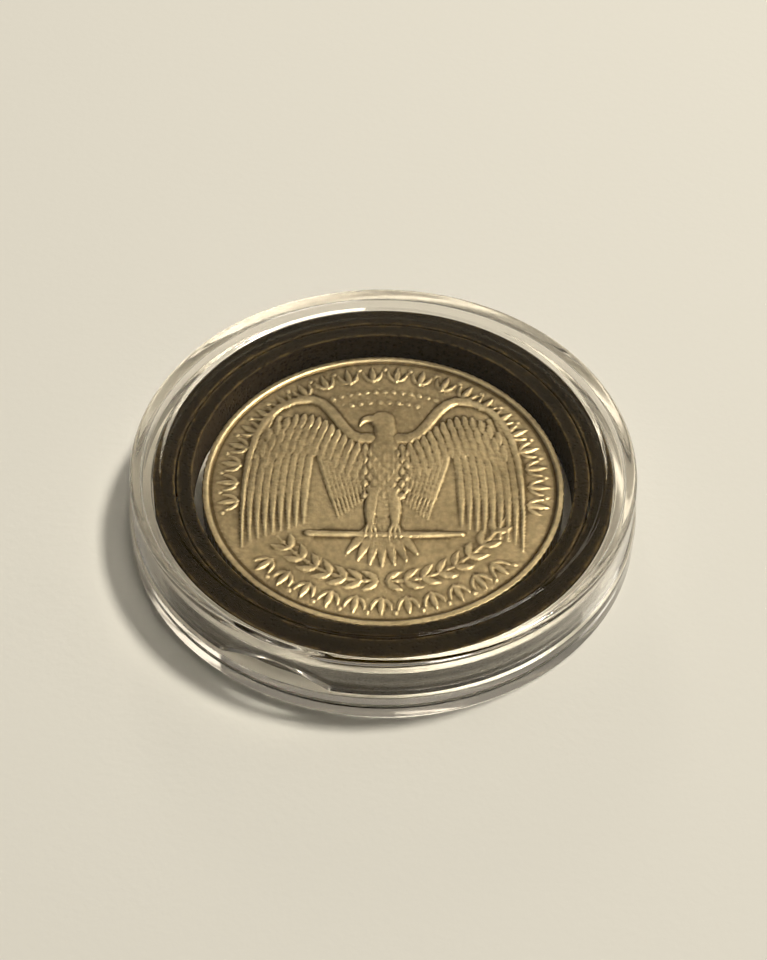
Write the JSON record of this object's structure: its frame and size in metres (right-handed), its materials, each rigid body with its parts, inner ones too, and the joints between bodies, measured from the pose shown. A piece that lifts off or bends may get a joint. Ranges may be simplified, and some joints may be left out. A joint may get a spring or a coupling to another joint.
{
  "type": "coin capsule",
  "caption": "Round clear coin capsule: a base and a push-fit lid around a black foam insert in two nested rings that holds a coin flat behind two windows.",
  "frame": {"origin": "centre of the underside, on the surface that the closed capsule stands on", "axes": "+Z out through the lid along the round axis; +X to the right and -Y towards the viewer, with the thumb notch at 246 degrees anticlockwise from +X"},
  "size_m": [0.034, 0.034, 0.0054],
  "materials": {
    "clear_shell": "polished",
    "black_foam": "matte",
    "coin_metal": "satin"
  },
  "bodies": {
    "base": {"base_shell": "clear_shell"},
    "lid": {"lid_shell": "clear_shell"},
    "outer_ring": {"outer_foam_ring": "black_foam"},
    "inner_ring": {"inner_foam_ring": "black_foam"},
    "coin": {"coin": "coin_metal"}
  },
  "joints": [
    {"name": "lid_lift", "type": "slide", "parent": "base", "child": "lid", "axis": [0, 0, 1], "range_m": [0, 0.03]},
    {"name": "outer_ring_lift", "type": "slide", "parent": "base", "child": "outer_ring", "axis": [0, 0, 1], "range_m": [0, 0.018]},
    {"name": "inner_ring_lift", "type": "slide", "parent": "base", "child": "inner_ring", "axis": [0, 0, 1], "range_m": [0, 0.012]},
    {"name": "coin_lift", "type": "slide", "parent": "base", "child": "coin", "axis": [0, 0, 1], "range_m": [0, 0.006]}
  ],
  "couplings": [
    {"joint": "outer_ring_lift", "follows": "lid_lift", "ratio": 0.6},
    {"joint": "inner_ring_lift", "follows": "lid_lift", "ratio": 0.4},
    {"joint": "coin_lift", "follows": "lid_lift", "ratio": 0.2}
  ]
}
